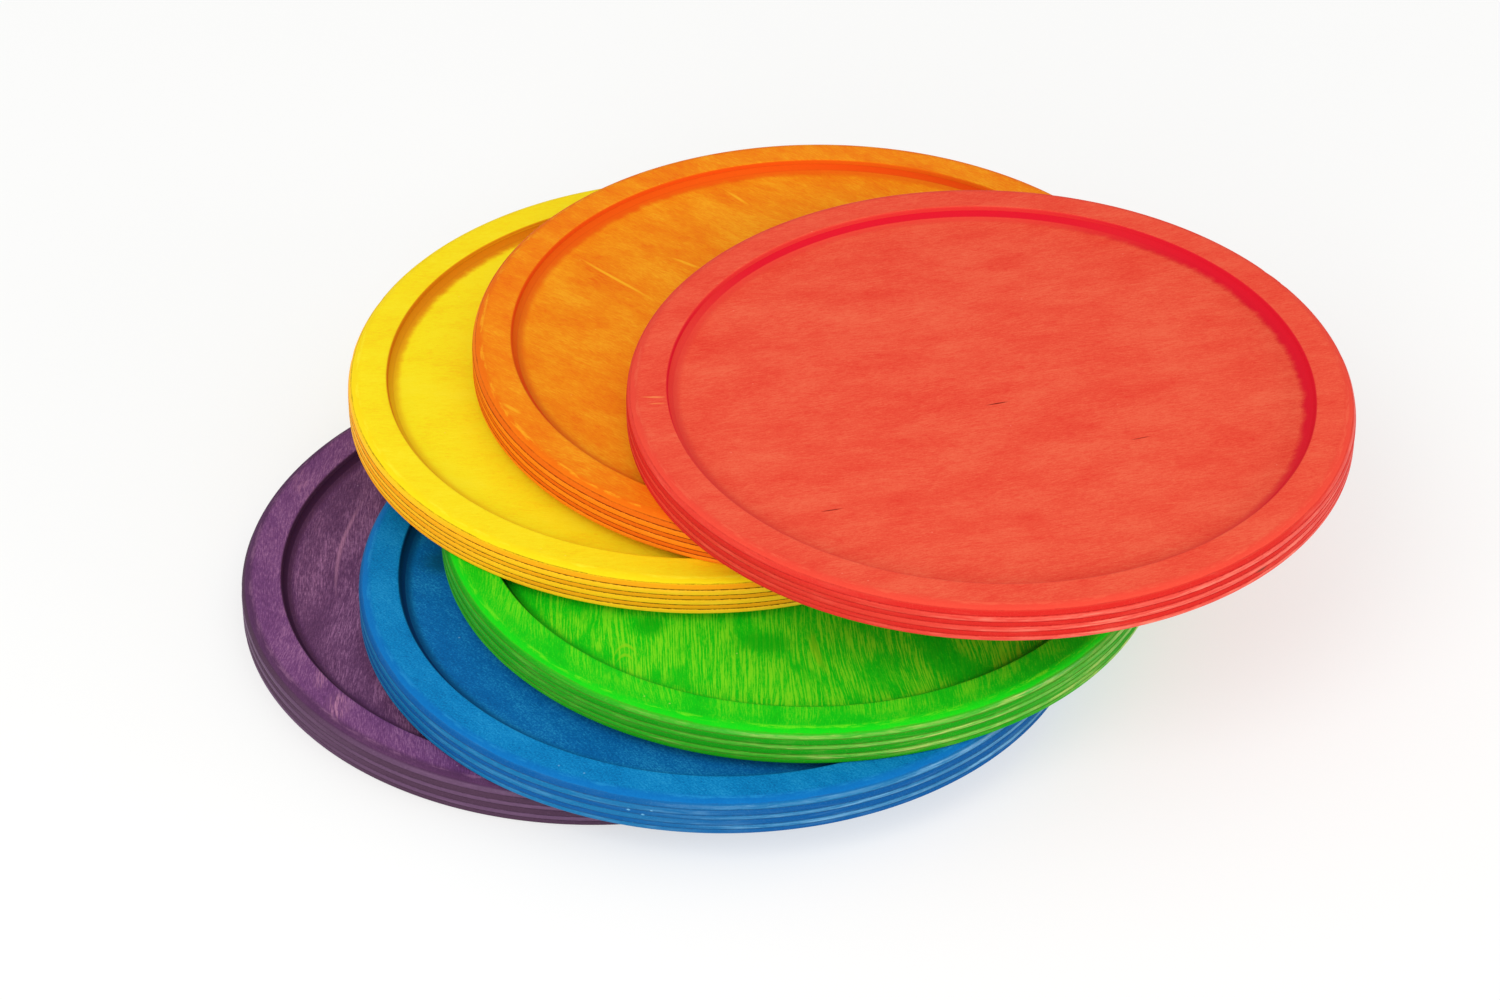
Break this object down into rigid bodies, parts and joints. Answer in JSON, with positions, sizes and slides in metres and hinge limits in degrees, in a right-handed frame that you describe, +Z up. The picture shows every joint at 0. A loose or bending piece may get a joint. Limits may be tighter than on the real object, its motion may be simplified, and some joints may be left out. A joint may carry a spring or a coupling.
{
  "type": "stacking plate set",
  "caption": "Set of round, shallow-recessed plywood plates in rainbow dyes, stacked flat in an open spiral; each lifts off.",
  "frame": {"origin": "centre of the underside of the lowest (purple) plate, on the surface that the stack stands on", "axes": "+Z up; +X to the right and +Y away, as one faces the open side of the spiral"},
  "size_m": [0.2613, 0.2282, 0.054],
  "materials": {
    "purple_birch": "matt dyed birch plywood, sanded, no lacquer",
    "blue_birch": "matt dyed birch plywood, sanded, no lacquer",
    "green_birch": "matt dyed birch plywood, sanded, no lacquer",
    "yellow_birch": "matt dyed birch plywood, sanded, no lacquer",
    "orange_birch": "matt dyed birch plywood, sanded, no lacquer",
    "red_birch": "matt dyed birch plywood, sanded, no lacquer"
  },
  "bodies": {
    "purple_plate": {"purple_back_veneer": "purple_birch", "purple_lower_cross_veneer": "purple_birch", "purple_lower_long_veneer": "purple_birch", "purple_centre_cross_veneer": "purple_birch", "purple_floor_veneer": "purple_birch", "purple_upper_cross_veneer": "purple_birch", "purple_face_veneer": "purple_birch"},
    "blue_plate": {"blue_back_veneer": "blue_birch", "blue_lower_cross_veneer": "blue_birch", "blue_lower_long_veneer": "blue_birch", "blue_centre_cross_veneer": "blue_birch", "blue_floor_veneer": "blue_birch", "blue_upper_cross_veneer": "blue_birch", "blue_face_veneer": "blue_birch"},
    "green_plate": {"green_back_veneer": "green_birch", "green_lower_cross_veneer": "green_birch", "green_lower_long_veneer": "green_birch", "green_centre_cross_veneer": "green_birch", "green_floor_veneer": "green_birch", "green_upper_cross_veneer": "green_birch", "green_face_veneer": "green_birch"},
    "yellow_plate": {"yellow_back_veneer": "yellow_birch", "yellow_lower_cross_veneer": "yellow_birch", "yellow_lower_long_veneer": "yellow_birch", "yellow_centre_cross_veneer": "yellow_birch", "yellow_floor_veneer": "yellow_birch", "yellow_upper_cross_veneer": "yellow_birch", "yellow_face_veneer": "yellow_birch"},
    "orange_plate": {"orange_back_veneer": "orange_birch", "orange_lower_cross_veneer": "orange_birch", "orange_lower_long_veneer": "orange_birch", "orange_centre_cross_veneer": "orange_birch", "orange_floor_veneer": "orange_birch", "orange_upper_cross_veneer": "orange_birch", "orange_face_veneer": "orange_birch"},
    "red_plate": {"red_back_veneer": "red_birch", "red_lower_cross_veneer": "red_birch", "red_lower_long_veneer": "red_birch", "red_centre_cross_veneer": "red_birch", "red_floor_veneer": "red_birch", "red_upper_cross_veneer": "red_birch", "red_face_veneer": "red_birch"}
  },
  "joints": [
    {"name": "blue_lift", "type": "slide", "parent": "purple_plate", "child": "blue_plate", "axis": [0, 0, 1], "range_m": [0, 0.05]},
    {"name": "green_lift", "type": "slide", "parent": "blue_plate", "child": "green_plate", "axis": [0, 0, 1], "range_m": [0, 0.05]},
    {"name": "yellow_lift", "type": "slide", "parent": "green_plate", "child": "yellow_plate", "axis": [0, 0, 1], "range_m": [0, 0.05]},
    {"name": "orange_lift", "type": "slide", "parent": "yellow_plate", "child": "orange_plate", "axis": [0, 0, 1], "range_m": [0, 0.05]},
    {"name": "red_lift", "type": "slide", "parent": "orange_plate", "child": "red_plate", "axis": [0, 0, 1], "range_m": [0, 0.05]}
  ]
}
